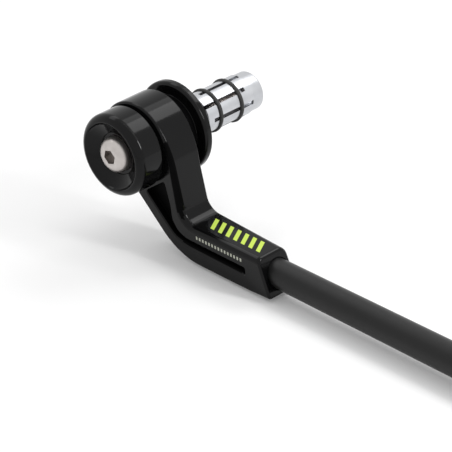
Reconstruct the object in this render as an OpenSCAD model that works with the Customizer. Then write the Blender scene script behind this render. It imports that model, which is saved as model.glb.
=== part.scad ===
// Brake lever guard for the end of a handlebar.
// +Y runs along the bar axis from the cap towards the tube, +X along the guard rod, +Z up.
// The origin is on the bar axis, in the collar face that the tube end butts against.

/* [End cap] */
// outside diameter of the cap
cap_d = 32; // [28:0.5:40]
// length of the cap along the bar
cap_len = 11.2; // [8:0.1:16]
// rounding of the cap's outer front edge
cap_round = 3.2; // [1:0.1:5]
// width across the mouth of the conical recess
recess_mouth_d = 26.6; // [20:0.1:30]
// depth of the conical recess
recess_depth = 4.2; // [3.6:0.1:7]
// width of the recess floor that the screw head seats on
recess_floor_d = 16.4; // [15:0.1:20]

/* [Screw] */
// thread diameter of the long screw
screw_d = 8; // [6:1:10]
// diameter of the domed screw head
head_d = 14; // [12:0.5:18]
// height of the domed screw head
head_h = 4.4; // [3:0.1:6]
// hexagon socket, across flats
hex_af = 5; // [4:0.5:8]
// depth of the hexagon socket
hex_depth = 2.8; // [2:0.1:4]
// radial room round the screw in its through holes
screw_gap = 0.25; // [0.1:0.05:0.5]
// radial room between mating threads, drawn plain
thread_gap = 0.03; // [0.01:0.01:0.1]

/* [Spacer ring] */
// outside diameter of the ring between cap and arm
ring_d = 29; // [24:0.5:32]
// thickness of the ring between cap and arm
ring_t = 1.5; // [1:0.1:3]

/* [Guard arm] */
// diameter of the arm's round head
arm_head_d = 33.7; // [30:0.1:42]
// thickness of the arm's head along the bar
arm_head_t = 13.9; // [11:0.1:18]
// chamfer on the head's outer edge
head_chamfer = 1; // [0.3:0.1:2]
// distance of the arm's front face from the bar axis
front_off = 18.8; // [18:0.1:24]
// slope of the arm's front face from the vertical
front_slope = 8; // [4:0.5:16]
// radius that blends the head into the front face
blend_r = 30; // [26:1:40]
// distance of the arm's back face from the bar axis
back_off = 13.7; // [11:0.1:16]
// slope of the arm's back face from the vertical
back_slope = 43.8; // [38:0.2:52]
// inward slope of the arm's outer side
outer_slope = 4.7; // [2:0.1:7]
// inward slope of the arm's inner side
inner_slope = 6.2; // [4:0.1:8]
// depth below the bar axis at which the sides begin to slope
slope_start = 4; // [0:0.5:8]
// radius inside the bend
bend_r = 6; // [4:0.5:9]
// radius round the heel of the bend
heel_r = 26; // [16:1:30]
// rounding along the arm's top outer edge
top_round = 2.4; // [1.5:0.1:3]
// rounding along the arm's top inner edge
inner_round = 3; // [1:0.1:4]

/* [Rod block] */
// depth of the block's top face below the bar axis
block_top = 24.8; // [23.5:0.1:28]
// height of the block
block_h = 15.1; // [14.6:0.1:18]
// distance from the bar axis to the top of the block's end face
block_reach = 60.5; // [58:0.1:80]
// slope of the block's end face from the vertical
end_slope = 18.1; // [0:0.5:24]
// chamfer along the top of the end face
end_chamfer = 1.4; // [0.5:0.1:2]

/* [Pocket] */
// depth of the lightening pocket in the arm's outer side
pocket_depth = 3; // [1:0.1:3.4]
// width of the rim left behind and below the pocket
rim_w = 3.6; // [2.5:0.1:4.5]
// thickness of the front rib at the pocket's upper end
rib_top = 5.9; // [5:0.1:7]
// thickness of the front rib where the pocket enters the bend
rib_bend = 4.4; // [3.5:0.1:6]
// slope of the pocket's upper end wall from the horizontal
pocket_top_slope = 37; // [20:1:45]
// distance from the bar axis to the pocket's upper end wall
pocket_top_off = 16.6; // [16:0.1:20]
// solid length left between the pocket and the block's end
pocket_end_gap = 9.4; // [7:0.1:14]
// height of the pocket at the rod end
pocket_h_end = 6.7; // [5:0.1:8]
// height of the pocket at its narrowest, below the bend
pocket_h_bend = 4.8; // [4:0.1:6]

/* [Guard rod] */
// diameter of the rod where it enters the block
rod_d = 10.9; // [9.5:0.1:11.2]
// diameter of the rod near its free end
rod_end_d = 12; // [10.9:0.1:14]
// exposed length of the rod, to its rounded tip
rod_len = 118; // [60:1:160]
// rounding of the rod's free end
tip_round = 4; // [2:0.5:5]
// radial room between the rod and its socket
rod_gap = 0.2; // [0.1:0.05:0.4]
// depth of the rod's socket, measured on its axis
socket_depth = 8; // [5:0.5:8.5]
// wall left between the socket and the outer side of the block
socket_wall = 2.3; // [1.8:0.1:3]
// depth of the rod's axis below the bar axis
rod_drop = 33; // [32.5:0.1:34]
// diameter of the rod's thinner spigot
spigot_d = 7.6; // [6:0.1:8]
// length of the thinner spigot
spigot_len = 20; // [16:1:24]

/* [Set screws] */
// diameter of the set screws that hold the spigot
set_d = 4; // [3:0.5:5]
// length of the set screws
set_len = 3.6; // [3:0.1:5]
// distance between the set screws
set_pitch = 9; // [7:0.5:10]
// hexagon socket of the set screws, across flats
set_af = 2; // [1.5:0.5:2.5]

/* [Collar] */
// diameter of the collar's flange
flange_d = 35.4; // [32:0.1:40]
// thickness of the collar's flange
flange_t = 3.2; // [2:0.1:5]
// rounding of the flange's outer edge
flange_round = 1.4; // [0.5:0.1:2]
// diameter of the collar's neck
neck_d = 26; // [22:0.5:30]
// length of the collar's neck
neck_len = 5.4; // [3:0.1:8]
// length of the plug that enters the tube
plug_len = 8; // [6:0.5:12]

/* [Expander] */
// diameter of the expander and of the plug in the tube
expander_d = 16; // [13:0.1:18]
// length of the slotted sleeve
sleeve_len = 24; // [20:1:32]
// wall of the slotted sleeve
sleeve_wall = 2.6; // [2:0.1:3]
// width of the slots in the sleeve
slot_w = 1.6; // [1:0.1:2]
// depth of the tapered seats at both ends of the sleeve
seat_depth = 4; // [3:0.1:6]
// depth of the seats' taper
seat_rise = 1.4; // [1:0.1:1.8]
// length of the plain end of the tapered nut
nut_end = 6; // [4:0.5:10]
// section diameter of the retaining rings
oring_d = 1.8; // [1.2:0.1:2]
// distance of each retaining ring from the sleeve's end
oring_in = 6.5; // [6:0.1:8]

/* [Hidden] */
$fn = 96;

eps = 0.01;
neck_y = -flange_t - neck_len;
arm_y = neck_y - arm_head_t;
ring_y = arm_y - ring_t;
cap_y = ring_y - cap_len;
seat_y = cap_y + recess_depth;
cap_r = cap_d / 2;
head_r = arm_head_d / 2;
shank_r = screw_d / 2;
hole_r = shank_r + screw_gap;
tap_r = shank_r + thread_gap;
plug_r = expander_d / 2;
block_bot = block_top + block_h;

// the arm's outline, in the plane across the bar axis
front_n = [cos(front_slope), sin(front_slope)];
front_t = [sin(front_slope), -cos(front_slope)];
blend_c = (front_off - blend_r) / (head_r - blend_r);
blend_a = front_slope + acos(blend_c);
blend_o = [-(blend_r - head_r) * cos(blend_a), -(blend_r - head_r) * sin(blend_a)];
front_touch = [blend_o[0] + blend_r * front_n[0], blend_o[1] + blend_r * front_n[1]];
corner_x = front_off / front_n[0] + block_top * tan(front_slope);
corner = [corner_x, -block_top];
back_n = [-cos(back_slope), -sin(back_slope)];
back_t = [sin(back_slope), -cos(back_slope)];
heel_x = (block_bot * sin(back_slope) - back_off) / cos(back_slope);
heel = [heel_x, -block_bot];
heel_len = heel_r * tan((90 - back_slope) / 2);
heel_o = [heel_x + heel_len, -block_bot + heel_r];
heel_a = [heel_x - heel_len * back_t[0], -block_bot - heel_len * back_t[1]];
heel_b = [heel_x + heel_len, -block_bot];
end_top = [block_reach, -block_top];
end_bot = [block_reach + block_h * tan(end_slope), -block_bot];
bend_len = bend_r * tan((90 - front_slope) / 2);
bend_a = [corner_x - bend_len * front_t[0], -block_top - bend_len * front_t[1]];
bend_b = [corner_x + bend_len, -block_top];
bend_o = [corner_x + bend_len, -block_top + bend_r];

// the arm's two sides, as distances along the bar at a given depth below its axis
function outer_y(d) = arm_y + max(0, d - slope_start) * tan(outer_slope);
function inner_y(d) = neck_y + max(0, d - slope_start) * tan(inner_slope);

// the guard rod's axis
rod_r = rod_d / 2;
socket_r = rod_r + rod_gap;
rod_y = outer_y(rod_drop) + socket_wall + socket_r;
rod_x = block_reach + (rod_drop - block_top) * tan(end_slope);
socket_x = rod_x - socket_depth;
spigot_r = spigot_d / 2;
spigot_x = socket_x - spigot_len;
rod_start = socket_x + 0.3;
rod_tip = rod_x + rod_len;
set_r = set_d / 2;
set_mid = socket_x - spigot_len / 2;
set_top = -rod_drop - spigot_r + 1.2;

// lengths inside the tube
sleeve_y = plug_len;
sleeve_r = plug_r - sleeve_wall;
sleeve_end = sleeve_y + sleeve_len;
nut_y = sleeve_end + nut_end;
seat_r = sleeve_r + seat_rise;

module along_bar(y) {
    translate([0, y, 0])
        rotate([-90, 0, 0])
            children();
}

module along_rod(x) {
    translate([x, rod_y, -rod_drop])
        rotate([0, 90, 0])
            children();
}

// a slab of the given outline across the bar, from y0 to y1
module across(y0, y1, points) {
    translate([0, y1, 0])
        rotate([90, 0, 0])
            linear_extrude(height = y1 - y0)
                polygon(points);
}

// a slab of the given outline across the rod, from x0 to x1
module side_slab(x0, x1, points) {
    translate([x0, 0, 0])
        rotate([90, 0, 90])
            linear_extrude(height = x1 - x0)
                polygon(points);
}

module end_cap() {
    color([0.05, 0.05, 0.055])
        difference() {
            along_bar(cap_y)
                rotate_extrude()
                    difference() {
                        union() {
                            translate([0, cap_round])
                                square([cap_r, cap_len - cap_round]);
                            square([cap_r - cap_round, cap_round + eps]);
                            translate([cap_r - cap_round, cap_round])
                                circle(r = cap_round);
                        }
                        polygon([[0, -1], [recess_mouth_d / 2 + 1, -1], [recess_mouth_d / 2, 0.4], [recess_floor_d / 2, recess_depth], [0, recess_depth]]);
                        translate([-cap_d, -1])
                            square([cap_d + hole_r, cap_len + 2]);
                    }
        }
}

module cap_screw() {
    color([0.72, 0.7, 0.69])
        difference() {
            union() {
                along_bar(seat_y - head_h)
                    rotate_extrude()
                        intersection() {
                            square([head_d / 2, head_h]);
                            translate([0, head_h + 1.4])
                                circle(r = sqrt(pow(head_d / 2, 2) + 1.4 * 1.4));
                            polygon([[0, 0], [head_d / 2 * 0.6, 0], [head_d / 2 * 0.95, head_h * 0.5], [head_d / 2, head_h], [0, head_h]]);
                        }
                along_bar(seat_y - 0.2)
                    cylinder(r = shank_r, h = nut_y - 1 - seat_y + 0.2);
            }
            along_bar(seat_y - head_h - 1)
                cylinder(r = hex_af / sqrt(3), h = hex_depth + 1, $fn = 6);
        }
}

module spacer_ring() {
    color([0.02, 0.02, 0.02])
        along_bar(ring_y)
            rotate_extrude()
                translate([hole_r, 0])
                    square([ring_d / 2 - hole_r, ring_t]);
}

// the arm's solid outline before its sides are sloped
module arm_plate() {
    across(arm_y, inner_y(block_bot + 1), [[0, 0], front_touch, corner, [block_reach - end_chamfer, -block_top], [block_reach + end_chamfer * tan(end_slope), -block_top - end_chamfer], end_bot, heel, [back_off * back_n[0], back_off * back_n[1]]]);
    intersection() {
        along_bar(arm_y)
            translate([blend_o[0], -blend_o[1], 0])
                cylinder(r = blend_r, h = arm_head_t, $fn = 192);
        across(arm_y, neck_y, [[0, 0], [2 * head_r * cos(blend_a), 2 * head_r * sin(blend_a)], [2 * head_r, 0], front_touch]);
    }
    difference() {
        across(arm_y, inner_y(block_bot + 1), [bend_a, [corner_x - 1, -block_top - 1], bend_b, bend_o]);
        along_bar(arm_y - 1)
            translate([bend_o[0], -bend_o[1], 0])
                cylinder(r = bend_r, h = arm_head_t + 12);
    }
}

// what is left after the arm's two sides are sloped inwards
module arm_sides() {
    low = block_bot + 1;
    side_slab(-head_r - 1, end_bot[0] + 1, [[arm_y, head_r + 1], [arm_y, -slope_start], [outer_y(low), -low], [inner_y(low), -low], [neck_y, -slope_start], [neck_y, head_r + 1]]);
}

// material taken off outside the heel's large radius
module heel_cut() {
    difference() {
        across(arm_y - 1, inner_y(block_bot) + 1, [heel_a, [heel_a[0] - 1, heel_a[1] - 1], [heel_x - 2, -block_bot - 2], [heel_b[0], -block_bot - 2], heel_b, [heel_x + 0.3 * heel_len, -block_bot + 0.5 * heel_len]]);
        along_bar(arm_y - 2)
            translate([heel_o[0], -heel_o[1], 0])
                cylinder(r = heel_r, h = arm_head_t + 14, $fn = 192);
    }
}

// roundings along the block's two top edges
module top_round_cuts() {
    oy = outer_y(block_top) + top_round * (1 + sin(outer_slope)) / cos(outer_slope);
    difference() {
        side_slab(bend_b[0] - 1, block_reach + 3, [[oy, -block_top + 1], [oy, -block_top - top_round], [arm_y - 1, -block_top - top_round], [arm_y - 1, -block_top + 1]]);
        translate([bend_b[0] - 2, oy, -block_top - top_round])
            rotate([0, 90, 0])
                cylinder(r = top_round, h = block_reach);
    }
    iy = inner_y(block_top) - inner_round * (1 - sin(inner_slope)) / cos(inner_slope);
    difference() {
        side_slab(bend_b[0] - 1, block_reach + 3, [[iy, -block_top + 1], [iy, -block_top - inner_round], [iy + inner_round + 3, -block_top - inner_round], [iy + inner_round + 3, -block_top + 1]]);
        translate([bend_b[0] - 2, iy, -block_top - inner_round])
            rotate([0, 90, 0])
                cylinder(r = inner_round, h = block_reach);
    }
}

// a square bar of width c, turned on edge, that chamfers an edge of the arm's front face
module edge_bar(y, slope, c) {
    translate([front_off / front_n[0], y, 0])
        rotate([0, 90 - front_slope, 0])
            translate([slope_start, 0, 0])
                rotate([0, 0, slope])
                    rotate([45, 0, 0])
                        translate([0, -c * sqrt(0.5), -c * sqrt(0.5)])
                            cube([block_top - slope_start - bend_len - 0.5, c * sqrt(2), c * sqrt(2)]);
}

// chamfers down the outer and the inner edge of the arm's front face
module front_edge_cuts() {
    edge_bar(arm_y, outer_slope, top_round * 0.62);
    edge_bar(neck_y, inner_slope, inner_round * 0.4);
}

// the lightening pocket, as an outline across the bar
module pocket() {
    pt = [cos(pocket_top_slope), sin(pocket_top_slope)];
    pn = [sin(pocket_top_slope), -cos(pocket_top_slope)];
    back_in = back_off - rim_w;
    top_in = front_off - rib_top;
    bend_x = (front_off - rib_bend) / front_n[0];
    top_back_s = (-back_in - pocket_top_off * (pn[0] * back_n[0] + pn[1] * back_n[1]) + 2 * back_in) / (pt[0] * back_n[0] + pt[1] * back_n[1]);
    top_front_s = (top_in - pocket_top_off * (pn[0] * front_n[0] + pn[1] * front_n[1])) / (pt[0] * front_n[0] + pt[1] * front_n[1]);
    top_back = [pocket_top_off * pn[0] + top_back_s * pt[0], pocket_top_off * pn[1] + top_back_s * pt[1]];
    top_front = [pocket_top_off * pn[0] + top_front_s * pt[0], pocket_top_off * pn[1] + top_front_s * pt[1]];
    floor_z = -block_bot + rim_w;
    end_x = end_bot[0] - pocket_end_gap - block_h * tan(end_slope) / 2;
    mid_in = [bend_x + (block_top - 5.4) * tan(front_slope) - 0.7, -block_top + 5.4];
    bend_in = [bend_x + (block_top + 0.6) * tan(front_slope) - 1.2, -block_top - 0.6];
    low_in = [bend_in[0] + 2.6, bend_in[1] - 4];
    heel_in = heel_r - rim_w;
    inside = [for (a = [180 + back_slope : 6 : 270]) [heel_o[0] + heel_in * cos(a), heel_o[1] + heel_in * sin(a)]];
    upper = [top_front, mid_in, bend_in, low_in, [bend_in[0] + 6.6, floor_z + pocket_h_bend], [bend_in[0] + 15.6, floor_z + (pocket_h_bend + pocket_h_end) / 2], [end_x, floor_z + pocket_h_end]];
    lower = [[end_x, floor_z], heel_b + [0, rim_w], for (i = [len(inside) - 1 : -1 : 0]) inside[i], top_back];
    outline = concat(upper, lower);
    low = block_bot + 1;
    intersection() {
        across(arm_y - 1, neck_y, outline);
        side_slab(-head_r, block_reach + 4, [[arm_y - 1, 0], [outer_y(low) - 1, -low], [outer_y(low) + pocket_depth, -low], [arm_y + pocket_depth, -slope_start], [arm_y + pocket_depth, 0]]);
    }
}

module guard_arm() {
    color([0.06, 0.06, 0.065])
        difference() {
            union() {
                along_bar(arm_y)
                    rotate_extrude($fn = 144)
                        polygon([[0, 0], [head_r - head_chamfer, 0], [head_r, head_chamfer], [head_r, arm_head_t - 0.5], [head_r - 0.5, arm_head_t], [0, arm_head_t]]);
                difference() {
                    intersection() {
                        arm_plate();
                        arm_sides();
                    }
                    heel_cut();
                    top_round_cuts();
                    front_edge_cuts();
                }
            }
            pocket();
            along_bar(arm_y - 1)
                cylinder(r = hole_r, h = arm_head_t + 2);
            along_rod(socket_x)
                cylinder(r = socket_r, h = socket_depth + 12);
            along_rod(spigot_x - 0.3)
                cylinder(r = spigot_r + rod_gap / 2, h = spigot_len + 1);
            for (s = [-1, 1])
                translate([set_mid + s * set_pitch / 2, rod_y, -block_bot - 1])
                    cylinder(r = set_r + thread_gap, h = block_bot + 1 - rod_drop);
        }
}

module collar() {
    color([0.05, 0.05, 0.055])
        along_bar(neck_y)
            rotate_extrude()
                difference() {
                    union() {
                        square([neck_d / 2, neck_len + flange_t]);
                        translate([0, neck_len])
                            square([flange_d / 2 - flange_round, flange_t]);
                        translate([0, neck_len + flange_round])
                            square([flange_d / 2, flange_t - flange_round]);
                        translate([flange_d / 2 - flange_round, neck_len + flange_round])
                            circle(r = flange_round, $fn = 48);
                        square([plug_r, -neck_y + plug_len]);
                        polygon([[0, -neck_y], [seat_r, -neck_y], [seat_r, -neck_y + plug_len], [sleeve_r, -neck_y + plug_len + seat_depth], [0, -neck_y + plug_len + seat_depth]]);
                    }
                    translate([-flange_d, -1])
                        square([flange_d + hole_r, -neck_y + plug_len + seat_depth + 2]);
                }
}

module expander_sleeve() {
    groove = oring_d + 0.2;
    color([0.55, 0.56, 0.58])
        difference() {
            along_bar(sleeve_y)
                rotate_extrude()
                    difference() {
                        polygon([[seat_r, 0], [plug_r, 0], [plug_r, sleeve_len], [seat_r, sleeve_len], [sleeve_r, sleeve_len - seat_depth], [sleeve_r, seat_depth]]);
                        for (y = [oring_in, sleeve_len - oring_in])
                            translate([plug_r - oring_d / 2 - 0.1, y - groove / 2])
                                square([oring_d, groove]);
                    }
            for (a = [0, 90])
                along_bar(sleeve_y + 3)
                    rotate([0, 0, a])
                        translate([-plug_r - 1, -slot_w / 2, 0])
                            cube([2 * plug_r + 2, slot_w, sleeve_len]);
            for (a = [45, 135])
                along_bar(sleeve_y - 1)
                    rotate([0, 0, a])
                        translate([-plug_r - 1, -slot_w / 2, 0])
                            cube([2 * plug_r + 2, slot_w, sleeve_len - 2]);
        }
}

module retaining_ring(y) {
    color([0.03, 0.03, 0.03])
        along_bar(y)
            rotate_extrude()
                translate([plug_r - 0.1, 0])
                    intersection() {
                        circle(r = oring_d / 2, $fn = 32);
                        translate([-oring_d, -oring_d])
                            square([oring_d + 0.05, 2 * oring_d]);
                    }
}

module retaining_ring_front() {
    retaining_ring(sleeve_y + oring_in);
}

module retaining_ring_rear() {
    retaining_ring(sleeve_end - oring_in);
}

module expander_nut() {
    color([0.6, 0.6, 0.62])
        along_bar(sleeve_end - seat_depth)
            rotate_extrude()
                polygon([[tap_r, 0], [sleeve_r, 0], [seat_r, seat_depth], [plug_r - 0.4, seat_depth], [plug_r - 0.4, seat_depth + nut_end - 1], [plug_r - 1.4, seat_depth + nut_end], [tap_r, seat_depth + nut_end]]);
}

module guard_rod() {
    color([0.03, 0.03, 0.032])
        difference() {
            along_rod(spigot_x)
                rotate_extrude()
                    difference() {
                        union() {
                            polygon([[0, 0], [spigot_r - 0.6, 0], [spigot_r, 0.6], [spigot_r, rod_start - spigot_x], [rod_r, rod_start - spigot_x], [rod_r, rod_x - spigot_x], [rod_end_d / 2, rod_tip - spigot_x - tip_round], [0, rod_tip - spigot_x - tip_round]]);
                            translate([0, rod_tip - spigot_x - tip_round - eps])
                                square([rod_end_d / 2 - tip_round, tip_round + eps]);
                            translate([rod_end_d / 2 - tip_round, rod_tip - spigot_x - tip_round])
                                circle(r = tip_round, $fn = 64);
                        }
                        translate([-rod_end_d, -1])
                            square([rod_end_d, rod_tip - spigot_x + 2]);
                    }
            for (s = [-1, 1])
                translate([set_mid + s * set_pitch / 2, rod_y, -rod_drop - spigot_r - 1])
                    cylinder(r = set_r + 0.1, h = 2.2);
        }
}

module set_screw(x) {
    color([0.12, 0.12, 0.13])
        translate([x, rod_y, set_top - set_len])
            difference() {
                cylinder(r = set_r, h = set_len);
                translate([0, 0, -1])
                    cylinder(r = set_af / sqrt(3), h = 2.8, $fn = 6);
            }
}

module set_screw_front() {
    set_screw(set_mid + set_pitch / 2);
}

module set_screw_rear() {
    set_screw(set_mid - set_pitch / 2);
}

end_cap();
cap_screw();
spacer_ring();
guard_arm();
collar();
expander_sleeve();
retaining_ring_front();
retaining_ring_rear();
expander_nut();
guard_rod();
set_screw_front();
set_screw_rear();
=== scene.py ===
"""Looks of a brake lever guard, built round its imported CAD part.

The guard is dressed sub-assembly by sub-assembly: the turned cap with its ring and screw, the
machined arm, the collar with its expander, and the rod with its set screws. All sizes are in
millimetres in the row frame: +X along the guard rod, +Y along the handlebar's axis from the cap
towards the tube, +Z up, with the origin in the collar face that the tube end butts against.
"""

import logging
import math
from dataclasses import dataclass
from enum import Enum
from typing import Callable, Iterable, Sequence

import bmesh
import bpy
from mathutils import Matrix, Vector

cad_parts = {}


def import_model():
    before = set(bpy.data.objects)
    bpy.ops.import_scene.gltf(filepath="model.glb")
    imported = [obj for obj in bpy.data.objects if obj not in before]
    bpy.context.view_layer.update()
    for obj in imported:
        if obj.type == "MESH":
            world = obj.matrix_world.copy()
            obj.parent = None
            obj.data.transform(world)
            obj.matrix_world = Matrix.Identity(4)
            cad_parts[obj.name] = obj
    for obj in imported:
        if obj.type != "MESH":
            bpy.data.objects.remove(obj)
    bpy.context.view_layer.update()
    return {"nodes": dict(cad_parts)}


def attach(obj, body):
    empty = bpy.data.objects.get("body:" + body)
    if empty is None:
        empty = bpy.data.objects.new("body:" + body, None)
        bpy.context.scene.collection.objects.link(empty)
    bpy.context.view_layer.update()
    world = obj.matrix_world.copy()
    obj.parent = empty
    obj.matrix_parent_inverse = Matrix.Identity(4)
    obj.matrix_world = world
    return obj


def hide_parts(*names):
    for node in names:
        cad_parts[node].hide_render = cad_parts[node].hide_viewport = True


LOG = logging.getLogger("lever_guard")
# One millimetre in metres.
MM = 0.001
# How near a point must lie to a plane or a rim to count as being on it, in millimetres.
NEAR = 0.02
BODY = "root"

Point = tuple[float, float]
Triple = tuple[float, float, float]
EdgeTest = Callable[[bmesh.types.BMEdge], bool]
Settings = tuple[tuple[str, float], ...]
Socket = bpy.types.NodeSocket


class Slot(Enum):
    """The record's material slots."""

    BLACK_ANODISED = "black_anodised"
    STAINLESS = "stainless"
    BLACK_POLYMER = "black_polymer"
    PLAIN_ALUMINIUM = "plain_aluminium"
    RUBBER = "rubber"
    BLACK_STEEL = "black_steel"


class Lay(Enum):
    """Which way the fine marks of the tool run on a finish."""

    NONE = "none"
    TURNED_ALL_OVER = "turned_all_over"
    TURNED_SIDES = "turned_sides"
    ALONG_ROD = "along_rod"


@dataclass(frozen=True)
class Grain:
    """Fine noise: features per metre, octaves, depth as a bump in millimetres, and stretch."""

    scale: float
    detail: float = 3.0
    depth: float = 0.0
    stretch: Triple = (1, 1, 1)


class NodeSheet:
    """A node tree, with short helpers for the nodes that finishes and studio share."""

    def __init__(self, tree: bpy.types.NodeTree) -> None:
        """Starts on an emptied node tree."""
        self.tree = tree
        tree.nodes.clear()

    def add(self, kind: str) -> bpy.types.Node:
        """Adds a node of the given kind."""
        return self.tree.nodes.new(kind)

    def link(self, source: Socket, target: Socket) -> None:
        """Joins an output to an input."""
        self.tree.links.new(source, target)

    def maths(self, how: str, a: object, b: object = 0.0, c: object = 0.0) -> Socket:
        """Adds a Math node whose inputs are numbers or sockets.

        Args:
            how: The operation's name.
            a: First input.
            b: Second input.
            c: Third input.

        Returns:
            The result.
        """
        node = self.add("ShaderNodeMath")
        node.operation = how
        for socket, value in zip(node.inputs, (a, b, c)):
            if isinstance(value, (int, float)):
                socket.default_value = value
            else:
                self.link(value, socket)
        return node.outputs["Value"]

    def seen_directly(self) -> Socket:
        """Returns 1 on rays from the camera, off a gloss or through glass, and 0 on soft light."""
        path = self.add("ShaderNodeLightPath")
        seen = self.maths("MAXIMUM", path.outputs["Is Camera Ray"], path.outputs["Is Glossy Ray"])
        return self.maths("MAXIMUM", seen, path.outputs["Is Transmission Ray"])

    def mix_shaders(self, factor: Socket, a: Socket, b: Socket, target: Socket) -> None:
        """Mixes two shaders into an output's surface.

        Args:
            factor: 0 gives a, 1 gives b.
            a: First shader.
            b: Second shader.
            target: The input that takes the mix.
        """
        mix = self.add("ShaderNodeMixShader")
        for source, place in ((factor, 0), (a, 1), (b, 2)):
            self.link(source, mix.inputs[place])
        self.link(mix.outputs["Shader"], target)


class FinishSheet(NodeSheet):
    """A material's node tree, with a Principled shader on Object coordinates."""

    def __init__(self, name: str) -> None:
        """Starts an empty material with a Principled shader and its output.

        Args:
            name: The material's name.
        """
        self.material = bpy.data.materials.new(name)
        self.material.use_nodes = True
        super().__init__(self.material.node_tree)
        self.output = self.add("ShaderNodeOutputMaterial")
        self.shader = self.add("ShaderNodeBsdfPrincipled")
        self.link(self.shader.outputs["BSDF"], self.output.inputs["Surface"])
        self.place = self.add("ShaderNodeTexCoord").outputs["Object"]

    def noise(self, grain: Grain) -> Socket:
        """Adds noise on Object coordinates.

        Args:
            grain: The noise's sizes.

        Returns:
            The noise's factor output.
        """
        mapping = self.add("ShaderNodeMapping")
        mapping.inputs["Scale"].default_value = grain.stretch
        self.link(self.place, mapping.inputs["Vector"])
        node = self.add("ShaderNodeTexNoise")
        node.inputs["Scale"].default_value = grain.scale
        node.inputs["Detail"].default_value = grain.detail
        self.link(mapping.outputs["Vector"], node.inputs["Vector"])
        return node.outputs["Fac"]

    def line_noise(self, along: Socket, grain: Grain) -> Socket:
        """Adds noise that changes along one coordinate only.

        Args:
            along: The coordinate, in metres.
            grain: The noise's sizes.

        Returns:
            The noise's factor output.
        """
        node = self.add("ShaderNodeTexNoise")
        node.noise_dimensions = "1D"
        node.inputs["Scale"].default_value = grain.scale
        node.inputs["Detail"].default_value = grain.detail
        self.link(along, node.inputs["W"])
        return node.outputs["Fac"]

    def spread(self, value: Socket, low: float, high: float) -> Socket:
        """Maps a factor from 0..1 onto low..high.

        Args:
            value: The factor.
            low: The result at 0.
            high: The result at 1.

        Returns:
            The mapped value.
        """
        node = self.add("ShaderNodeMapRange")
        node.inputs["To Min"].default_value = low
        node.inputs["To Max"].default_value = high
        self.link(value, node.inputs["Value"])
        return node.outputs["Result"]

    def blend(self, factor: Socket, a: object, b: object) -> Socket:
        """Mixes two colours.

        Args:
            factor: 0 gives a, 1 gives b.
            a: First colour, as three numbers or a socket.
            b: Second colour, as three numbers or a socket.

        Returns:
            The mixed colour.
        """
        node = self.add("ShaderNodeMix")
        node.data_type = "RGBA"
        self.link(factor, node.inputs["Factor"])
        for socket, value in ((node.inputs[6], a), (node.inputs[7], b)):
            if isinstance(value, tuple):
                socket.default_value = (*value, 1.0)
            else:
                self.link(value, socket)
        return node.outputs[2]

    def bump(self, height: Socket, depth: float) -> None:
        """Adds a bump to the shader, on top of any bump it has.

        Args:
            height: The height's factor.
            depth: Height of a full step, in millimetres.
        """
        node = self.add("ShaderNodeBump")
        node.inputs["Strength"].default_value = 1.0
        node.inputs["Distance"].default_value = depth * MM
        self.link(height, node.inputs["Height"])
        held = self.shader.inputs["Normal"].links
        if held:
            self.link(held[0].from_socket, node.inputs["Normal"])
        self.link(node.outputs["Normal"], self.shader.inputs["Normal"])

    def axes(self) -> tuple[Socket, Socket, Socket]:
        """Returns the three Object coordinates, in metres."""
        node = self.add("ShaderNodeSeparateXYZ")
        self.link(self.place, node.inputs["Vector"])
        return node.outputs["X"], node.outputs["Y"], node.outputs["Z"]


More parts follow.
